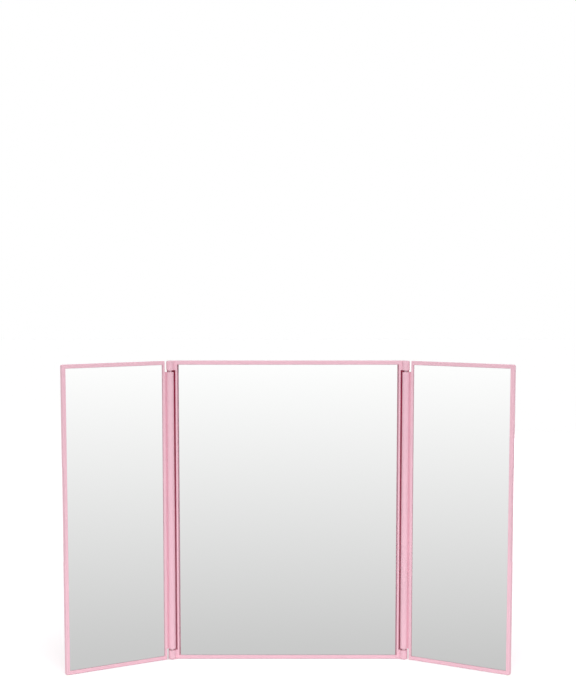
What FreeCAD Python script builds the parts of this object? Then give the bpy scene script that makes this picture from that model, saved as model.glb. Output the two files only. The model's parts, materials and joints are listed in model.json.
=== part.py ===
# Trifold table mirror: a middle panel with two wings that fold shut over it, and a leg behind.
# Millimetres. X runs to the right, Y to the back, Z up. The mirrors face -Y.
# The origin is the middle of the centre frame's bottom face, on the table.
import FreeCAD, Part
import math
import os

V = FreeCAD.Vector

# Whole mirror
height = 250.0
closed_width = 200.0
wing_rest_angle = 33.5          # wings swung forward of flat

# Layers shared by all three panels, from the hinge plane backwards
front_gap = 0.2                 # rails stand back from the plane where shut panels meet
glass_recess = 1.0              # rails stand proud of the glass
glass_thickness = 1.6
tape_thickness = 0.4
floor_thickness = 1.1
glass_clearance = 0.1           # between glass edge and rail
centre_side_clearance = 1.1     # the same beside the middle glass
glass_arris = 0.1               # ground-off front edge of the glass

# Rails
centre_side_rail = 1.6
centre_end_rail = 3.0
wing_hinge_rail = 2.1
wing_free_rail = 3.0
wing_end_rail = 3.0
rail_round = 0.7                # outer edge of the rails
rail_inner_round = 0.2          # edge of the rails towards the glass
rail_slot_round = 0.45          # edge of the centre frame towards the barrels

# Hinges
hinge_radius = 3.0              # lugs and barrels
lug_height = 7.6
lug_end_round = 0.9
hinge_side_gap = 1.3            # open slot between barrel and centre frame
lug_wing_gap = 1.8              # open slot between lug and wing corner
pin_diameter = 2.0
pin_recess = 0.6                # pin end below the lug's outer face
pin_chamfer = 0.25
pin_in_barrel = 9.0
pin_seat_clearance = 0.02       # radial, pin in lug
pin_running_clearance = 0.05    # radial, pin in barrel
bore_spare = 1.0                # barrel bore past the pin's end
washer_thickness = 1.2
washer_diameter = 3.0
barrel_end_clearance = 0.3      # between washer and barrel

# Wings
wing_seam = 0.2                 # free edge short of the middle line when shut
crease_width = 1.4              # groove between barrel and hinge rail, on the glass side
crease_depth = 0.8
crease_slope = 0.7              # run of the groove's side below the hinge rail
heel_offset = 0.3               # back edge of the hinge rail, out from the barrel
wing_corner_radius = 1.2
wing_back_round = 1.0
heel_round = 0.6
relief_length = 80.0            # finger relief on the free edge
relief_depth = 0.5
relief_taper = 3.0
relief_rise = 5.0               # middle of the relief above mid-height

# Mirror tape
mirror_tape_inset = 5.0
mirror_tape_width = 10.0
mirror_tape_gap = 0.5           # between strips at the corners

# Rear cover
cover_depth = 3.6
cover_side_inset = 0.2          # cover edge inside the barrels' outer line
cover_corner_radius = 3.0
cover_back_round = 1.8
cover_lip = 2.5                 # rim that meets the frame, round the tape recess
cover_tape_thickness = 0.25
cover_tape_inset = 0.5

# Stand
pivot_height = 150.0
foot_rise = 4.0                 # foot pad above the table when the leg is folded
leg_thickness = 2.8
leg_top_width = 56.0
leg_foot_width = 44.0
leg_foot_radius = 8.0
leg_edge_round = 0.6
leg_panel_border = 7.0          # rim round the thinned middle of the leg's inner face
leg_panel_depth = 0.7
stand_clearance = 0.3           # leg and knuckle to the frame behind the slot
slot_clearance = 0.7            # leg to the sides of its slot
knuckle_radius = 1.6
stop_angle = 58.0               # leg opening at which the stop nose lies along the frame
stop_reach = 2.0
stop_thickness = 1.4
stand_pin_diameter = 1.2
pin_groove_length = 7.0         # seat in the cover for each end of the pin
pin_end_gap = 0.3               # pin short of its groove's end
pin_snap = 0.12                 # groove's mouth narrower than its round seat, on each side
stand_washer_diameter = 3.0
stand_washer_thickness = 0.4
foot_pad_width = 30.0
foot_pad_height = 3.0
foot_pad_round = 1.0

# Cutting bodies reach past the faces that they open
overshoot = 1.0

# Two places count as the same within this distance
tolerance = 1e-4

# Places worked out from the sizes above
axis_x = closed_width / 2 - hinge_radius
frame_half = axis_x - hinge_radius - hinge_side_gap
glass_front = front_gap + glass_recess
tape_front = glass_front + glass_thickness
floor_front = tape_front + tape_thickness
panel_back = floor_front + floor_thickness
hinge_plane_y = -(front_gap + panel_back) / 2
barrel_bottom = lug_height + washer_thickness + barrel_end_clearance
barrel_top = height - barrel_bottom
rail_start = hinge_radius + crease_width
crease_floor = front_gap + crease_depth
heel_start = hinge_radius + heel_offset
notch_start = hinge_radius + lug_wing_gap
wing_edge = axis_x - wing_seam
cover_half = closed_width / 2 - cover_side_inset
cover_back = panel_back + cover_depth
cover_tape_back = panel_back + cover_tape_thickness
leg_front = panel_back + stand_clearance
leg_back = leg_front + leg_thickness
pivot_y = leg_front + knuckle_radius
foot_z = foot_rise + foot_pad_height
leg_shoulder = pivot_height - knuckle_radius - slot_clearance
slot_half_top = leg_top_width / 2 + slot_clearance
slot_half_foot = leg_foot_width / 2 + slot_clearance
groove_end = slot_half_top + pin_groove_length
groove_half = stand_pin_diameter / 2 + pin_seat_clearance
slot_top = pivot_height + math.hypot(knuckle_radius, stop_reach) + slot_clearance


def block(x, y, z):
    """Box between pairs of limits."""
    return Part.makeBox(x[1] - x[0], y[1] - y[0], z[1] - z[0], V(x[0], y[0], z[0]))


def plate(outline, y):
    """Plate with an outline of (x, z) points, between two depths."""
    corners = [V(px, y[0], pz) for px, pz in outline]
    face = Part.Face(Part.makePolygon(corners + corners[:1]))
    return face.extrude(V(0, y[1] - y[0], 0))


def column(outline, z):
    """Upright bar with an outline of (x, y) points, between two heights."""
    corners = [V(px, py, z[0]) for px, py in outline]
    face = Part.Face(Part.makePolygon(corners + corners[:1]))
    return face.extrude(V(0, 0, z[1] - z[0]))


def both_sides(right):
    """Closed outline from the (x, z) points of its right half, top to bottom."""
    return right + [(-px, pz) for px, pz in reversed(right)]


def ring(outer, inner, length, base, direction):
    """Washer or sleeve, by its diameters."""
    solid = Part.makeCylinder(outer / 2, length, base, direction)
    return solid.cut(Part.makeCylinder(inner / 2, length, base, direction))


def edges_where(shape, test):
    """Edges whose every end and middle passes the test on its point."""
    def points(edge):
        middle = edge.valueAt((edge.FirstParameter + edge.LastParameter) / 2)
        return [v.Point for v in edge.Vertexes] + [middle]
    return [e for e in shape.Edges if all(test(p) for p in points(e))]


def near(a, b):
    return abs(a - b) < tolerance


def within(value, limits):
    return limits[0] - tolerance < value < limits[1] + tolerance


def at_end(z):
    """Whether a height is the bottom or the top of the panels."""
    return near(z, 0) or near(z, height)


def mirrored(shape):
    """Twin on the other side of the middle plane."""
    return shape.mirror(V(0, 0, 0), V(1, 0, 0))


def rounded(shape, radius, test):
    return shape.makeFillet(radius, edges_where(shape, test))


def pane(x, z, side_clearance):
    """Glass in its recess, with its front edges ground off."""
    solid = block((x[0] + side_clearance, x[1] - side_clearance), (glass_front, tape_front),
                  (z[0] + glass_clearance, z[1] - glass_clearance))
    return solid.makeChamfer(glass_arris, edges_where(solid, lambda p: near(p.y, glass_front)))


def tape_strips(x, z):
    """Strips of tape under the four edges of a pane, as separate pieces."""
    x0, x1 = x[0] + mirror_tape_inset, x[1] - mirror_tape_inset
    z0, z1 = z[0] + mirror_tape_inset, z[1] - mirror_tape_inset
    depth = (tape_front, floor_front)
    inner = (x0 + mirror_tape_width + mirror_tape_gap, x1 - mirror_tape_width - mirror_tape_gap)
    return Part.makeCompound([
        block((x0, x0 + mirror_tape_width), depth, (z0, z1)),
        block((x1 - mirror_tape_width, x1), depth, (z0, z1)),
        block(inner, depth, (z0, z0 + mirror_tape_width)),
        block(inner, depth, (z1 - mirror_tape_width, z1)),
    ])


def both_ends(make):
    """The lower piece and its twin, turned over at mid-height."""
    lower = make()
    return lower, lower.mirror(V(0, 0, height / 2), V(0, 0, 1))


# Recess limits for the three panes
centre_recess_x = (centre_side_rail - frame_half, frame_half - centre_side_rail)
centre_recess_z = (centre_end_rail, height - centre_end_rail)
wing_recess_x = (rail_start + wing_hinge_rail, wing_edge - wing_free_rail)
wing_recess_z = (wing_end_rail, height - wing_end_rail)


def opened(shell, x, z):
    """Shell with its glass recess cut and the recess's rim eased."""
    recess = block(x, (front_gap - overshoot, floor_front), z)
    shell = shell.cut(recess)
    return rounded(shell, rail_inner_round,
                   lambda p: near(p.y, front_gap) and within(p.x, x) and within(p.z, z))


# Centre panel
def right_lower_lug():
    """Hinge lug: half-round in front, square behind, standing out from the frame's side."""
    front = Part.makeCylinder(hinge_radius, lug_height, V(axis_x, 0, 0))
    front = rounded(front, lug_end_round, lambda p: near(p.z, 0))
    outer_x = axis_x + hinge_radius
    rear = block((axis_x, outer_x), (0, panel_back), (0, lug_height))
    rear = rounded(rear, lug_end_round, lambda p: near(p.z, 0) and near(p.x, outer_x))
    web = block((frame_half - rail_slot_round, axis_x), (front_gap, panel_back), (0, lug_height))
    bore = Part.makeCylinder(pin_diameter / 2 + pin_seat_clearance, lug_height, V(axis_x, 0, 0))
    return front.fuse([rear, web]).cut(bore)


def centre_frame():
    shell = block((-frame_half, frame_half), (front_gap, panel_back), (0, height))
    shell = rounded(shell, rail_round, lambda p: near(p.y, front_gap) and at_end(p.z))
    shell = rounded(shell, rail_slot_round, lambda p: near(p.y, front_gap) and near(abs(p.x), frame_half))
    lugs = []
    for lug in both_ends(right_lower_lug):
        lugs += [lug, mirrored(lug)]
    return opened(shell.fuse(lugs).removeSplitter(), centre_recess_x, centre_recess_z)


def right_lower_pin():
    length = barrel_bottom + pin_in_barrel - pin_recess
    pin = Part.makeCylinder(pin_diameter / 2, length, V(axis_x, 0, pin_recess))
    return pin.makeChamfer(pin_chamfer, edges_where(pin, lambda p: near(p.z, pin_recess + length)))


def right_lower_washer():
    return ring(washer_diameter, pin_diameter + 2 * pin_running_clearance, washer_thickness,
                V(axis_x, 0, lug_height), V(0, 0, 1))


# Rear cover
def slot():
    """Opening for the leg: its outline with clearance, open at the bottom edge."""
    right = [(slot_half_top, slot_top), (slot_half_top, leg_shoulder),
             (slot_half_foot, foot_z), (slot_half_foot, -overshoot)]
    return plate(both_sides(right), (panel_back - overshoot, cover_back + overshoot))


def cover_tape_fields():
    """Limits of the three tape sheets: left, right and above the slot."""
    inner = groove_end + cover_lip
    outer = frame_half - cover_lip
    low, high = cover_lip, height - cover_lip
    return [(-outer, -inner, low, high), (inner, outer, low, high),
            (-inner, inner, slot_top + cover_lip, high)]


def pin_groove():
    """Round seat for the stand's pin, with a mouth towards the frame that the pin snaps through."""
    half = groove_half - pin_snap
    mouth = block((-groove_end, groove_end), (panel_back - overshoot, pivot_y),
                  (pivot_height - half, pivot_height + half))
    return pivot_rod(groove_half, groove_end).fuse(mouth)


def rear_cover():
    cover = block((-cover_half, cover_half), (panel_back, cover_back), (0, height))
    cover = rounded(cover, cover_corner_radius, lambda p: near(abs(p.x), cover_half) and at_end(p.z))
    cover = rounded(cover, cover_back_round, lambda p: near(p.y, cover_back))
    recess = [block((x0, x1), (panel_back - overshoot, cover_tape_back), (z0, z1))
              for x0, x1, z0, z1 in cover_tape_fields()]
    return cover.cut([slot(), pin_groove()] + recess).removeSplitter()


def rear_cover_tape():
    return Part.makeCompound([
        block((x0 + cover_tape_inset, x1 - cover_tape_inset), (panel_back, cover_tape_back),
              (z0 + cover_tape_inset, z1 - cover_tape_inset))
        for x0, x1, z0, z1 in cover_tape_fields()])


# Stand
def pivot_rod(radius, half_length):
    """Cylinder on the stand's pivot axis."""
    start = V(-half_length, pivot_y, pivot_height)
    return Part.makeCylinder(radius, 2 * half_length, start, V(1, 0, 0))


def stop_nose():
    """Ridge on the knuckle whose flat comes down along the frame at the leg's widest opening."""
    angle = math.radians(stop_angle)
    out = V(0, -math.cos(angle), math.sin(angle))
    along = V(0, math.sin(angle), math.cos(angle))
    start = V(-leg_top_width / 2, pivot_y, pivot_height)
    top = start + out * knuckle_radius
    low = start + out * (knuckle_radius - stop_thickness)
    corners = [low, top, top + along * stop_reach, low + along * stop_reach]
    face = Part.Face(Part.makePolygon(corners + corners[:1]))
    return face.extrude(V(leg_top_width, 0, 0))


def stand_leg():
    half_top, half_foot = leg_top_width / 2, leg_foot_width / 2
    right = [(half_top, pivot_height), (half_top, leg_shoulder), (half_foot, foot_z)]
    leg = plate(both_sides(right), (leg_front, leg_back))
    leg = rounded(leg, leg_foot_radius, lambda p: near(p.z, foot_z) and near(abs(p.x), half_foot))
    leg = rounded(leg, leg_edge_round, lambda p: near(p.y, leg_back) and p.z < leg_shoulder + tolerance)
    inset = [(half_top - leg_panel_border, leg_shoulder - leg_panel_border),
             (half_foot - leg_panel_border, foot_z + leg_panel_border)]
    leg = leg.cut(plate(both_sides(inset), (leg_front - overshoot, leg_front + leg_panel_depth)))
    knuckle = pivot_rod(knuckle_radius, half_top)
    bore = pivot_rod(stand_pin_diameter / 2 + pin_running_clearance, half_top)
    return leg.fuse([knuckle, stop_nose()]).cut(bore).removeSplitter()


def stand_pin():
    return pivot_rod(stand_pin_diameter / 2, groove_end - pin_end_gap)


def stand_friction_washers():
    start = V(slot_half_top - stand_washer_thickness, pivot_y, pivot_height)
    right = ring(stand_washer_diameter, stand_pin_diameter + 2 * pin_running_clearance,
                 stand_washer_thickness, start, V(1, 0, 0))
    return Part.makeCompound([right, mirrored(right)])


def stand_foot_pad():
    pad = block((-foot_pad_width / 2, foot_pad_width / 2), (leg_front, leg_back), (foot_rise, foot_z))
    return rounded(pad, foot_pad_round, lambda p: near(p.z, foot_rise))


# Wings, drawn flat: X away from the hinge axis, Y to the back
def wing_shell():
    outline = [(heel_start, barrel_bottom), (notch_start, barrel_bottom), (notch_start, 0),
               (wing_edge, 0), (wing_edge, height),
               (notch_start, height), (notch_start, barrel_top), (heel_start, barrel_top)]
    shell = plate(outline, (front_gap, panel_back))

    def outer_edge(p):
        return p.x > notch_start + overshoot or at_end(p.z)

    shell = rounded(shell, wing_corner_radius, lambda p: near(p.x, wing_edge) and at_end(p.z))
    shell = rounded(shell, wing_back_round, lambda p: near(p.y, panel_back) and outer_edge(p))
    shell = rounded(shell, heel_round, lambda p: near(p.y, panel_back) and near(p.x, heel_start))
    shell = rounded(shell, rail_round, lambda p: near(p.y, front_gap) and outer_edge(p))
    groove = column([(0, 0), (rail_start, 0), (rail_start, front_gap),
                     (rail_start - crease_slope, crease_floor), (0, crease_floor)], (0, height))
    length = barrel_top - barrel_bottom
    barrel = Part.makeCylinder(hinge_radius, length, V(0, 0, barrel_bottom))
    web = block((0, rail_start), (crease_floor, hinge_radius), (barrel_bottom, barrel_top))
    shell = shell.cut(groove).fuse([barrel, web])
    shell = shell.cut(list(both_ends(lower_barrel_bore)) + [finger_relief()]).removeSplitter()
    return opened(shell, wing_recess_x, wing_recess_z)


def lower_barrel_bore():
    radius = pin_diameter / 2 + pin_running_clearance
    return Part.makeCylinder(radius, pin_in_barrel + bore_spare, V(0, 0, barrel_bottom))


def finger_relief():
    """Shallow cut in the free edge for a fingertip, with sloping ends."""
    middle = height / 2 + relief_rise
    low, high = middle - relief_length / 2, middle + relief_length / 2
    bottom = wing_edge - relief_depth
    outline = [(wing_edge + overshoot, low), (wing_edge, low), (bottom, low + relief_taper),
               (bottom, high - relief_taper), (wing_edge, high), (wing_edge + overshoot, high)]
    return plate(outline, (front_gap - overshoot, panel_back + overshoot))


def on_wing(shape, side):
    """Swing a wing's piece to its rest angle and put it on its hinge."""
    placed = shape.copy()
    placed.rotate(V(0, 0, 0), V(0, 0, 1), -wing_rest_angle)
    placed.translate(V(axis_x, 0, 0))
    return on_side(placed, side)


def on_side(shape, side):
    return shape if side > 0 else mirrored(shape)


def all_nodes():
    nodes = {
        "centre_frame": centre_frame(),
        "centre_mirror": pane(centre_recess_x, centre_recess_z, centre_side_clearance),
        "centre_mirror_tape": tape_strips(centre_recess_x, centre_recess_z),
        "rear_cover": rear_cover(),
        "rear_cover_tape": rear_cover_tape(),
        "stand_leg": stand_leg(),
        "stand_pin": stand_pin(),
        "stand_friction_washers": stand_friction_washers(),
        "stand_foot_pad": stand_foot_pad(),
    }
    shell = wing_shell()
    glass = pane(wing_recess_x, wing_recess_z, glass_clearance)
    tape = tape_strips(wing_recess_x, wing_recess_z)
    lower_pin, upper_pin = both_ends(right_lower_pin)
    washers = Part.makeCompound(list(both_ends(right_lower_washer)))
    for name, side in (("left", -1), ("right", 1)):
        nodes[name + "_wing_shell"] = on_wing(shell, side)
        nodes[name + "_wing_mirror"] = on_wing(glass, side)
        nodes[name + "_wing_mirror_tape"] = on_wing(tape, side)
        nodes[name + "_lower_hinge_pin"] = on_side(lower_pin, side)
        nodes[name + "_upper_hinge_pin"] = on_side(upper_pin, side)
        nodes[name + "_hinge_washers"] = on_side(washers, side)
    return nodes


os.makedirs("parts", exist_ok=True)
for node, shape in all_nodes().items():
    shape = shape.copy()
    shape.translate(V(0, hinge_plane_y, 0))
    shape.exportStep("parts/" + node + ".step")
    box = shape.BoundBox
    print("%-24s solids %d valid %s volume %9.1f  x %.2f..%.2f y %.2f..%.2f z %.2f..%.2f" % (
        node, len(shape.Solids), shape.isValid(), shape.Volume,
        box.XMin, box.XMax, box.YMin, box.YMax, box.ZMin, box.ZMax))
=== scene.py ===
import json
import math

import bpy
from bpy.props import FloatProperty, FloatVectorProperty, PointerProperty
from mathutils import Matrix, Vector

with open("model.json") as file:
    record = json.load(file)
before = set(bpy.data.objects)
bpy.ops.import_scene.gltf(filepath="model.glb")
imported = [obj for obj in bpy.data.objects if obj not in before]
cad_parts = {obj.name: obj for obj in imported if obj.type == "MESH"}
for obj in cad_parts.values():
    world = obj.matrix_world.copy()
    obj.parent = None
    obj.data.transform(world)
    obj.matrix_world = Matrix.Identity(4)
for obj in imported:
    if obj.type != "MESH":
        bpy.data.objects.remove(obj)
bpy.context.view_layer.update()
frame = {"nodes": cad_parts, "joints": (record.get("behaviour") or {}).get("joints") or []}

bl_info = {
    "name": "Trifold table mirror",
    "version": (1, 0, 0),
    "blender": (4, 5, 0),
    "location": "View3D > Sidebar > Mirror",
    "description": "Finishes and stage for a folding table mirror with three panels",
    "category": "Object",
}

# Nodes by finish
SHELL_NODES = ("centre_frame", "left_wing_shell", "right_wing_shell", "stand_leg")
COVER_NODE = "rear_cover"
TAPE_NODES = ("centre_mirror_tape", "rear_cover_tape",
              "left_wing_mirror_tape", "right_wing_mirror_tape")
HINGE_PIN_NODES = ("left_lower_hinge_pin", "left_upper_hinge_pin",
                   "right_lower_hinge_pin", "right_upper_hinge_pin")
STAND_PIN_NODES = ("stand_pin", "stand_friction_washers")
WASHER_NODES = ("left_hinge_washers", "right_hinge_washers")
PAD_NODE = "stand_foot_pad"

# Where each pane faces at rest
FRONT = (0.0, -1.0, 0.0)
WING_ANGLE = math.radians(abs(frame["joints"][0]["range_deg"][0]))
GLASS_FACING = {
    "centre_mirror": FRONT,
    "left_wing_mirror": (math.sin(WING_ANGLE), -math.cos(WING_ANGLE), 0.0),
    "right_wing_mirror": (-math.sin(WING_ANGLE), -math.cos(WING_ANGLE), 0.0),
}

# A face starts to count as a front at the first cosine, and does so in full at the second
PANE_COSINES = (0.98, 0.99)
# The second pair picks the cover's front faces in the slots, which get painted shade
SLOT_SHADE_COSINES = (0.4, 0.6)

# Painted light from below in the slots' painted shade: heights in metres, and the share of the coat
# colour at each
SLOT_LIGHT_FROM_BELOW = (0.05, 0.21, 0.44, 0.0)

# Painted shade on the glass from ambient occlusion: how far off something still covers the glass, in
# metres, and the open shares from fully shaded to clear
COVER_REACH = 0.03
COVER_SHADE_SPAN = (0.26, 0.36)

# A pattern is drawn out along the axis that it is squeezed on
ALONG_X = (0.05, 1.0, 1.0)
ALONG_Z = (1.0, 1.0, 0.05)

# Widths of the patterns and height of the steel's lines, in metres
STREAK_WIDTH = 0.00015
STREAK_RELIEF = 0.000004
WASHER_GRAIN = 0.0003
PAD_GRAIN = 0.0006
TAPE_GRAIN = 0.0008

# Shares of a finish's colour, from the pattern's low end to its high end
COAT_TINT = (0.96, 1.04)
STEEL_TINT = (0.88, 1.12)
MOULDING_TINT = (0.95, 1.05)

# Roughness from the pattern's low end to its high end, and on a pane from its edge to its face
COAT_ROUGHNESS = (0.46, 0.62)
STEEL_ROUGHNESS = (0.22, 0.42)
WASHER_ROUGHNESS = (0.35, 0.45)
PAD_ROUGHNESS = (0.7, 0.85)
TAPE_ROUGHNESS = (0.8, 0.95)
PANE_ROUGHNESS = (0.30, 0.0)

# Sockets of a Mix node that blends colours
FIRST_COLOUR = 6
SECOND_COLOUR = 7
BLENDED_COLOUR = 2

# White table: half its width and its depth under the mirror in metres, the light that it sends on,
# its colour to the camera, and the glow that lifts that to white
TABLE_HALF_WIDTH = 6.0
TABLE_SINK = 0.0002
TABLE_BOUNCE = (0.95, 0.95, 0.95, 1.0)
TABLE_SEEN = (0.9, 0.9, 0.9, 1.0)
TABLE_GLOW = 0.26
WHITE = (1.0, 1.0, 1.0, 1.0)

# A ray with fewer matt bounces than this has had none
FIRST_MATT_BOUNCE = 0.5

# The light from all round goes over to the rear light between these Y parts of its direction
REAR_SPAN = (-0.1, 0.3)

# Tones that the glass shows, each over a span of the Z part of the mirrored direction. The first falls
# away from the far background, the second rises again for views from above and is weaker on the left,
# and the third dips for views from high above. They go over into each other softly.
FALL_SPAN = (-0.44, -0.06)
RISE_SPAN = (-0.62, -0.10)
RISE_START_TONE = 0.37
DIP_SPAN = (-0.95, -0.45)
DIP_START_TONE = 1.1
SIDE_SPAN = (-1.0, 1.0)
SIDE_SHARES = (0.82, 1.0)
TONE_SOFTNESS = 0.2

# Lamps: places and sizes in metres, and the angle that the broad light fills
KEY_SPREAD = math.radians(40.0)
REAR_SOFTBOX_PLACE = (0.9, 1.5, 0.35)
REAR_SOFTBOX_TARGET = (0.0, 0.0, 0.12)
REAR_SOFTBOX_SIZE = (0.8, 0.6)
LOW_PANEL_PLACE = (0.0, -0.28, 0.04)
LOW_PANEL_TARGET = (0.0, 0.0, 0.04)
LOW_PANEL_SIZE = (0.5, 0.08)

# Longer side of the camera's sensor, in millimetres
SENSOR_SIDE = 36.0


class MirrorFinish(bpy.types.PropertyGroup):
    """Colours and grain of the mirror's surfaces."""
    shell_colour: FloatVectorProperty(
        name="Shell colour", description="Soft-touch coating on the frame, cover, wings and leg",
        subtype="COLOR", size=3, min=0.0, max=1.0, default=(0.875, 0.535, 0.625))
    # Painted shade for the cover's front faces in the hinge slots
    slot_shade_colour: FloatVectorProperty(
        name="Painted slot shade colour", description="Painted shade in the slots beside the hinges",
        subtype="COLOR", size=3, min=0.0, max=1.0, default=(0.62, 0.07, 0.16))
    shell_grain: FloatProperty(
        name="Shell grain", description="Width of one grain of the soft-touch coating",
        unit="LENGTH", default=0.0005)
    silver_colour: FloatVectorProperty(
        name="Silver colour", description="Silvering seen through clear glass",
        subtype="COLOR", size=3, min=0.0, max=1.0, default=(0.95, 0.955, 0.95))
    # Painted shade on the glass where a shut wing covers it
    cover_shade_colour: FloatVectorProperty(
        name="Painted cover shade colour", description="What the glass shows where a shut wing covers it",
        subtype="COLOR", size=3, min=0.0, max=1.0, default=(0.09, 0.035, 0.06))
    glass_edge_colour: FloatVectorProperty(
        name="Glass edge colour", description="Ground edge of the panes",
        subtype="COLOR", size=3, min=0.0, max=1.0, default=(0.82, 0.90, 0.86))
    pin_colour: FloatVectorProperty(
        name="Pin colour", description="Drawn steel of the pins and friction washers",
        subtype="COLOR", size=3, min=0.0, max=1.0, default=(0.62, 0.62, 0.63))
    washer_colour: FloatVectorProperty(
        name="Washer colour", description="Moulded washers in the wing hinges",
        subtype="COLOR", size=3, min=0.0, max=1.0, default=(0.82, 0.62, 0.68))
    tape_colour: FloatVectorProperty(
        name="Tape colour", description="Foam tape behind the glass and the cover",
        subtype="COLOR", size=3, min=0.0, max=1.0, default=(0.85, 0.85, 0.83))
    pad_colour: FloatVectorProperty(
        name="Pad colour", description="Rubber foot of the leg",
        subtype="COLOR", size=3, min=0.0, max=1.0, default=(0.80, 0.45, 0.58))


class MirrorStage(bpy.types.PropertyGroup):
    """Camera, lights and background."""
    camera_distance: FloatProperty(
        name="Camera distance", description="From the middle panel to the camera, along the floor",
        unit="LENGTH", default=1.262)
    camera_height: FloatProperty(
        name="Camera height", description="Above the table", unit="LENGTH", default=0.3241)
    camera_pitch: FloatProperty(
        name="Camera pitch", description="Downward tilt of the camera",
        subtype="ANGLE", unit="ROTATION", default=math.radians(6.309))
    focal_length: FloatProperty(
        name="Focal length", description="For a sensor 36 mm high, in millimetres", default=81.75)
    frame_shift: FloatProperty(
        name="Frame shift", description="Upward shift of the frame, as a share of its height",
        default=0.1506)
    world_light: FloatProperty(
        name="World light", description="Light from all round in front", default=0.50)
    rear_light: FloatProperty(
        name="Rear light", description="Light from all round behind", default=0.36)
    key_power: FloatProperty(
        name="Key power", description="Broad light from above in front", default=1.4)
    key_height: FloatProperty(
        name="Key height", description="How steeply the broad light comes down",
        subtype="ANGLE", unit="ROTATION", default=math.radians(60.0))
    rear_power: FloatProperty(
        name="Rear power", description="Softbox behind the object", subtype="POWER", default=12.0)
    panel_power: FloatProperty(
        name="Panel power", description="Low light panel in front", subtype="POWER", default=0.175)
    near_tone: FloatProperty(
        name="Near tone", description="Grey that the glass shows of the table close to it", default=0.60)
    far_tone: FloatProperty(
        name="Far tone", description="White that the glass shows of the far background", default=1.045)
    middle_tone: FloatProperty(
        name="Middle tone", description="White that the glass shows when seen from above", default=0.98)
    steep_tone: FloatProperty(
        name="Steep tone", description="Pale grey that the glass shows when seen from high above",
        default=0.78)


# Shader helpers
def empty_tree(owner):
    """Node tree of a material or world, with nothing in it."""
    owner.use_nodes = True
    owner.node_tree.nodes.clear()
    return owner.node_tree


def new_material(name):
    """Material with one Principled shader and its output."""
    material = bpy.data.materials.new(name)
    tree = empty_tree(material)
    output = tree.nodes.new("ShaderNodeOutputMaterial")
    shader = tree.nodes.new("ShaderNodeBsdfPrincipled")
    tree.links.new(shader.outputs["BSDF"], output.inputs["Surface"])
    return material, tree, shader


def node(tree, kind, links=None, **settings):
    """New node with its settings, and its inputs as plain values or as other nodes' sockets."""
    made = tree.nodes.new(kind)
    for key, value in settings.items():
        setattr(made, key, value)
    for key, value in (links or {}).items():
        if isinstance(value, bpy.types.NodeSocket):
            tree.links.new(value, made.inputs[key])
        else:
            made.inputs[key].default_value = value
    return made


def calculated(tree, operation, *values):
    """Result of one step of arithmetic on plain values or other nodes' sockets."""
    return node(tree, "ShaderNodeMath", dict(enumerate(values)), operation=operation).outputs["Value"]


def object_place(tree, squeeze=(1.0, 1.0, 1.0)):
    """Place on the object, squeezed along the axes that a pattern runs along."""
    place = node(tree, "ShaderNodeTexCoord").outputs["Object"]
    return node(tree, "ShaderNodeMapping", {"Vector": place, "Scale": squeeze}).outputs["Vector"]


def noise(tree, place, width, detail=2.0):
    """0 to 1 noise whose bumps are about as wide as the given length in metres."""
    links = {"Vector": place, "Scale": 1.0 / width, "Detail": detail}
    return node(tree, "ShaderNodeTexNoise", links).outputs["Fac"]


def ramp(tree, value, start, end, low, high):
    """Value mapped from one range to another, level beyond its ends."""
    links = {"Value": value, "From Min": start, "From Max": end, "To Min": low, "To Max": high}
    return node(tree, "ShaderNodeMapRange", links).outputs["Result"]


def shade_between(tree, factor, low, high):
    """Map a 0 to 1 factor to a range."""
    return ramp(tree, factor, 0.0, 1.0, low, high)


def tinted(tree, factor, colour, low, high):
    """Colour made a little darker or lighter by a 0 to 1 factor."""
    level = shade_between(tree, factor, low, high)
    scaled = node(tree, "ShaderNodeVectorMath", {0: tuple(colour), "Scale": level}, operation="SCALE")
    return scaled.outputs["Vector"]


def bump(tree, height, depth, under=None):
    """Normal of a relief of the given depth in metres, on top of another relief's normal if given."""
    links = {"Height": height, "Distance": depth}
    if under:
        links["Normal"] = under
    return node(tree, "ShaderNodeBump", links).outputs["Normal"]


def facing_share(tree, direction, start, full):
    """How far a surface faces a direction: 0 below the first cosine, 1 from the second."""
    normal = node(tree, "ShaderNodeTexCoord").outputs["Normal"]
    cosine = node(tree, "ShaderNodeVectorMath", {0: normal, 1: direction}, operation="DOT_PRODUCT")
    return ramp(tree, cosine.outputs["Value"], start, full, 0.0, 1.0)


def mixed(tree, factor, first, second):
    """Colour between two, each a plain colour or another node's socket."""
    blend = node(tree, "ShaderNodeMix", {"Factor": factor}, data_type="RGBA")
    for index, colour in ((FIRST_COLOUR, first), (SECOND_COLOUR, second)):
        socket = blend.inputs[index]
        if isinstance(colour, bpy.types.NodeSocket):
            tree.links.new(colour, socket)
        else:
            socket.default_value = (*colour, 1.0)
    return blend.outputs[BLENDED_COLOUR]


def chosen(tree, factor, first, second):
    """First shader where the factor is 0, second where it is 1."""
    return node(tree, "ShaderNodeMixShader", {0: factor, 1: first, 2: second}).outputs["Shader"]


def give(material, *names):
    """Put a material on CAD nodes."""
    for name in names:
        slots = frame["nodes"][name].data.materials
        slots.clear()
        slots.append(material)


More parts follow.
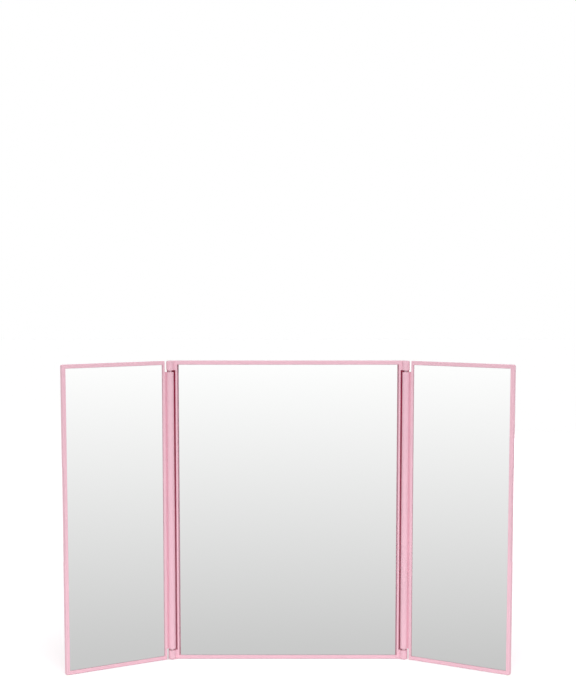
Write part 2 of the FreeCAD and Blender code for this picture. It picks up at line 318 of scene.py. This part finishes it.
# Finishes
def soft_touch_finish(name, colour, grain, slot_shade=None):
    """Matt rubbery coating with fine grain, the waves of spraying and faint clouds from handling.

    With a second colour, front faces get painted shade as in the slots beside the hinges, lightened
    towards the foot as painted light from below."""
    material, tree, shader = new_material(name)
    place = object_place(tree)
    cloud_width = 80 * grain
    wave_width = 8 * grain
    relief = grain / 20
    clouds = noise(tree, place, cloud_width, detail=4.0)
    waves = noise(tree, place, wave_width)
    grains = noise(tree, place, grain, detail=3.0)
    coat = tinted(tree, clouds, colour, *COAT_TINT)
    # Painted shade on the cover's front faces in the slots, lightened towards the foot as painted light
    # from below
    if slot_shade:
        height = node(tree, "ShaderNodeSeparateXYZ", {"Vector": place}).outputs["Z"]
        slot_shade_lit_below = mixed(tree, ramp(tree, height, *SLOT_LIGHT_FROM_BELOW), slot_shade, coat)
        coat = mixed(tree, facing_share(tree, FRONT, *SLOT_SHADE_COSINES), coat, slot_shade_lit_below)
    tree.links.new(coat, shader.inputs["Base Color"])
    tree.links.new(shade_between(tree, clouds, *COAT_ROUGHNESS), shader.inputs["Roughness"])
    sprayed = bump(tree, waves, relief)
    tree.links.new(bump(tree, grains, relief, sprayed), shader.inputs["Normal"])
    shader.inputs["Specular IOR Level"].default_value = 0.35
    shader.inputs["Sheen Weight"].default_value = 0.08
    shader.inputs["Sheen Roughness"].default_value = 0.45
    shader.inputs["Sheen Tint"].default_value = (1.0, 0.86, 0.90, 1.0)
    return material


def silvered_pane(name, facing, finish):
    """Silver behind clear glass, with painted shade where a shut wing covers it, and faintly green
    ground edges.
    """
    material, tree, shader = new_material(name)
    face = facing_share(tree, facing, *PANE_COSINES)
    # Painted shade: ambient occlusion darkens the silver where something covers the glass
    sky = node(tree, "ShaderNodeAmbientOcclusion", {"Distance": COVER_REACH}).outputs["AO"]
    clear = ramp(tree, sky, *COVER_SHADE_SPAN, 0.0, 1.0)
    shown = mixed(tree, clear, finish.cover_shade_colour, finish.silver_colour)
    tree.links.new(mixed(tree, face, finish.glass_edge_colour, shown), shader.inputs["Base Color"])
    tree.links.new(shade_between(tree, face, *PANE_ROUGHNESS), shader.inputs["Roughness"])
    shader.inputs["Metallic"].default_value = 1.0
    return material


def drawn_steel_finish(name, colour, squeeze):
    """Bright steel with the fine lines of drawing along the wire, which the squeeze runs along."""
    material, tree, shader = new_material(name)
    streaks = noise(tree, object_place(tree, squeeze), STREAK_WIDTH)
    tree.links.new(tinted(tree, streaks, colour, *STEEL_TINT), shader.inputs["Base Color"])
    tree.links.new(shade_between(tree, streaks, *STEEL_ROUGHNESS), shader.inputs["Roughness"])
    tree.links.new(bump(tree, streaks, STREAK_RELIEF), shader.inputs["Normal"])
    shader.inputs["Metallic"].default_value = 1.0
    return material


def plain_moulding_finish(name, colour, grain, roughness):
    """Matt moulded or foamed piece with a fine grain."""
    material, tree, shader = new_material(name)
    grains = noise(tree, object_place(tree), grain)
    relief = grain / 10
    tree.links.new(tinted(tree, grains, colour, *MOULDING_TINT), shader.inputs["Base Color"])
    tree.links.new(shade_between(tree, grains, *roughness), shader.inputs["Roughness"])
    tree.links.new(bump(tree, grains, relief), shader.inputs["Normal"])
    return material


class MIRROR_OT_coat_shells(bpy.types.Operator):
    """Coat the frame, cover, wings and leg with soft-touch pink"""
    bl_idname = "mirror.coat_shells"
    bl_label = "Coat shells"

    def execute(self, context):
        finish = context.scene.mirror_finish
        colour = finish.shell_colour
        grain = finish.shell_grain
        give(soft_touch_finish("soft_touch_pink", colour, grain), *SHELL_NODES)
        # The cover gets painted shade on its front faces in the slots
        give(soft_touch_finish("cover_pink", colour, grain, finish.slot_shade_colour), COVER_NODE)
        return {"FINISHED"}


class MIRROR_OT_silver_glass(bpy.types.Operator):
    """Silver the three panes"""
    bl_idname = "mirror.silver_glass"
    bl_label = "Silver glass"

    def execute(self, context):
        finish = context.scene.mirror_finish
        for name, facing in GLASS_FACING.items():
            give(silvered_pane(name + "_silver", facing, finish), name)
        return {"FINISHED"}


class MIRROR_OT_finish_hinges(bpy.types.Operator):
    """Finish the pins and washers of the wings and the stand"""
    bl_idname = "mirror.finish_hinges"
    bl_label = "Finish hinges"

    def execute(self, context):
        finish = context.scene.mirror_finish
        steel = finish.pin_colour
        nylon = finish.washer_colour
        give(drawn_steel_finish("hinge_steel", steel, ALONG_Z), *HINGE_PIN_NODES)
        give(drawn_steel_finish("stand_steel", steel, ALONG_X), *STAND_PIN_NODES)
        washers = plain_moulding_finish("washer_nylon", nylon, WASHER_GRAIN, WASHER_ROUGHNESS)
        give(washers, *WASHER_NODES)
        return {"FINISHED"}


class MIRROR_OT_finish_stand(bpy.types.Operator):
    """Finish the leg's rubber foot"""
    bl_idname = "mirror.finish_stand"
    bl_label = "Finish stand"

    def execute(self, context):
        finish = context.scene.mirror_finish
        rubber = plain_moulding_finish("foot_rubber", finish.pad_colour, PAD_GRAIN, PAD_ROUGHNESS)
        give(rubber, PAD_NODE)
        return {"FINISHED"}


class MIRROR_OT_finish_tapes(bpy.types.Operator):
    """Finish the foam tapes behind the glass and the cover"""
    bl_idname = "mirror.finish_tapes"
    bl_label = "Finish tapes"

    def execute(self, context):
        finish = context.scene.mirror_finish
        foam = plain_moulding_finish("foam_tape", finish.tape_colour, TAPE_GRAIN, TAPE_ROUGHNESS)
        give(foam, *TAPE_NODES)
        return {"FINISHED"}


# Stage
def seen_in_glass(tree, path):
    """1 for what the camera sees off or through something shiny, else 0."""
    mirrored = path.outputs["Is Glossy Ray"]
    passed = path.outputs["Is Transmission Ray"]
    shiny = calculated(tree, "MAXIMUM", mirrored, passed)
    straight = calculated(tree, "LESS_THAN", path.outputs["Diffuse Depth"], FIRST_MATT_BOUNCE)
    return calculated(tree, "MULTIPLY", shiny, straight)


def floor_finish():
    """White table: plain white to the camera with a soft shadow, and let through by the glass."""
    material = bpy.data.materials.new("white_table")
    tree = empty_tree(material)
    path = node(tree, "ShaderNodeLightPath")
    bounced = node(tree, "ShaderNodeBsdfDiffuse", {"Color": TABLE_BOUNCE}).outputs["BSDF"]
    seen = node(tree, "ShaderNodeBsdfDiffuse", {"Color": TABLE_SEEN}).outputs["BSDF"]
    glow = node(tree, "ShaderNodeEmission", {"Color": WHITE, "Strength": TABLE_GLOW}).outputs["Emission"]
    white = node(tree, "ShaderNodeAddShader", {0: seen, 1: glow}).outputs["Shader"]
    clear = node(tree, "ShaderNodeBsdfTransparent").outputs["BSDF"]
    to_camera = chosen(tree, path.outputs["Is Camera Ray"], bounced, white)
    to_glass = chosen(tree, seen_in_glass(tree, path), to_camera, clear)
    node(tree, "ShaderNodeOutputMaterial", {"Surface": to_glass})
    return material


def build_floor(half_width):
    """Table top that the mirror stands on, just under its lowest edges."""
    corners = [(-half_width, -half_width, 0), (half_width, -half_width, 0),
               (half_width, half_width, 0), (-half_width, half_width, 0)]
    mesh = bpy.data.meshes.new("table_top")
    mesh.from_pydata(corners, [], [(0, 1, 2, 3)])
    mesh.materials.append(floor_finish())
    floor = bpy.data.objects.new("table_top", mesh)
    floor.location.z = -TABLE_SINK
    bpy.context.scene.collection.objects.link(floor)


def glass_tone(tree, direction, stage):
    """Grey that the glass shows of the stage in each direction."""
    height = direction.outputs["Z"]
    # The near tone is halfway down the first span
    lowest = 2 * stage.near_tone - stage.far_tone
    fall = ramp(tree, height, *FALL_SPAN, lowest, stage.far_tone)
    rise = ramp(tree, height, *RISE_SPAN, stage.middle_tone, RISE_START_TONE)
    dip = ramp(tree, height, *DIP_SPAN, stage.steep_tone, DIP_START_TONE)
    side = ramp(tree, direction.outputs["X"], *SIDE_SPAN, *SIDE_SHARES)
    sided = calculated(tree, "MULTIPLY", rise, side)
    above = calculated(tree, "SMOOTH_MIN", sided, dip, TONE_SOFTNESS)
    return calculated(tree, "SMOOTH_MAX", fall, above, TONE_SOFTNESS)


def background(tree, strength):
    """White background of a plain strength or one from another node's socket."""
    made = node(tree, "ShaderNodeBackground", {"Color": WHITE, "Strength": strength})
    return made.outputs["Background"]


def build_world(stage):
    """White to the camera, soft light on the object with less behind it, and soft greys in the glass."""
    world = bpy.data.worlds.new("studio")
    bpy.context.scene.world = world
    tree = empty_tree(world)
    path = node(tree, "ShaderNodeLightPath")
    place = node(tree, "ShaderNodeTexCoord").outputs["Generated"]
    direction = node(tree, "ShaderNodeSeparateXYZ", {"Vector": place})
    light = ramp(tree, direction.outputs["Y"], *REAR_SPAN, stage.world_light, stage.rear_light)
    even = background(tree, light)
    white = background(tree, 1.0)
    glassy = background(tree, glass_tone(tree, direction, stage))
    to_camera = chosen(tree, path.outputs["Is Camera Ray"], even, white)
    to_glass = chosen(tree, seen_in_glass(tree, path), to_camera, glassy)
    node(tree, "ShaderNodeOutputWorld", {"Surface": to_glass})


def hidden_light(name, lamp):
    """Light object that the camera and the glass don't show."""
    light = bpy.data.objects.new(name, lamp)
    light.visible_camera = False
    light.visible_glossy = False
    bpy.context.scene.collection.objects.link(light)
    return light


def key_light(power, height):
    """Broad soft light from the front that is as strong all over the table."""
    lamp = bpy.data.lights.new("key_light", "SUN")
    lamp.energy = power
    lamp.angle = KEY_SPREAD
    light = hidden_light("key_light", lamp)
    light.location = (0.0, -math.cos(height), math.sin(height))
    light.rotation_euler = (math.pi / 2 - height, 0.0, 0.0)


def softbox(name, place, target, size, power):
    """Rectangular lamp turned towards a target."""
    lamp = bpy.data.lights.new(name, "AREA")
    lamp.shape = "RECTANGLE"
    lamp.size, lamp.size_y = size
    lamp.energy = power
    light = hidden_light(name, lamp)
    light.location = place
    light.rotation_mode = "QUATERNION"
    light.rotation_quaternion = (Vector(target) - Vector(place)).to_track_quat("-Z", "Y")


def build_camera(stage):
    """Camera in front and a little above, with its frame shifted so that the mirror is low in it."""
    data = bpy.data.cameras.new("front_camera")
    data.sensor_width = SENSOR_SIDE
    data.lens = stage.focal_length
    data.shift_y = stage.frame_shift
    camera = bpy.data.objects.new("front_camera", data)
    camera.location = (0.0, -stage.camera_distance, stage.camera_height)
    camera.rotation_euler = (math.pi / 2 - stage.camera_pitch, 0.0, 0.0)
    bpy.context.scene.collection.objects.link(camera)
    bpy.context.scene.camera = camera


class MIRROR_OT_set_stage(bpy.types.Operator):
    """Set the table, the lights and the camera"""
    bl_idname = "mirror.set_stage"
    bl_label = "Set stage"

    def execute(self, context):
        stage = context.scene.mirror_stage
        context.scene.view_settings.view_transform = "Standard"
        build_floor(TABLE_HALF_WIDTH)
        build_world(stage)
        key_light(stage.key_power, stage.key_height)
        softbox("rear_softbox", REAR_SOFTBOX_PLACE, REAR_SOFTBOX_TARGET,
                REAR_SOFTBOX_SIZE, stage.rear_power)
        softbox("low_panel", LOW_PANEL_PLACE, LOW_PANEL_TARGET,
                LOW_PANEL_SIZE, stage.panel_power)
        build_camera(stage)
        return {"FINISHED"}


class VIEW3D_PT_trifold_mirror(bpy.types.Panel):
    """Sidebar panel with the mirror's finishes and its stage"""
    bl_label = "Trifold mirror"
    bl_idname = "VIEW3D_PT_trifold_mirror"
    bl_space_type = "VIEW_3D"
    bl_region_type = "UI"
    bl_category = "Mirror"

    def draw(self, context):
        for group in (context.scene.mirror_finish, context.scene.mirror_stage):
            for name in group.__annotations__:
                self.layout.prop(group, name)
        for operator in OPERATORS:
            self.layout.operator(operator.bl_idname)


OPERATORS = (MIRROR_OT_coat_shells, MIRROR_OT_silver_glass, MIRROR_OT_finish_hinges,
             MIRROR_OT_finish_stand, MIRROR_OT_finish_tapes, MIRROR_OT_set_stage)
CLASSES = (MirrorFinish, MirrorStage, *OPERATORS, VIEW3D_PT_trifold_mirror)


def register():
    """Make the settings, operators and panel known to Blender."""
    for cls in CLASSES:
        bpy.utils.register_class(cls)
    bpy.types.Scene.mirror_finish = PointerProperty(type=MirrorFinish)
    bpy.types.Scene.mirror_stage = PointerProperty(type=MirrorStage)


def unregister():
    """Take them out again."""
    del bpy.types.Scene.mirror_stage
    del bpy.types.Scene.mirror_finish
    for cls in reversed(CLASSES):
        bpy.utils.unregister_class(cls)


def main():
    """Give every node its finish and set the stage."""
    register()
    bpy.ops.mirror.coat_shells()
    bpy.ops.mirror.silver_glass()
    bpy.ops.mirror.finish_hinges()
    bpy.ops.mirror.finish_stand()
    bpy.ops.mirror.finish_tapes()
    bpy.ops.mirror.set_stage()


if __name__ == "__main__":
    main()
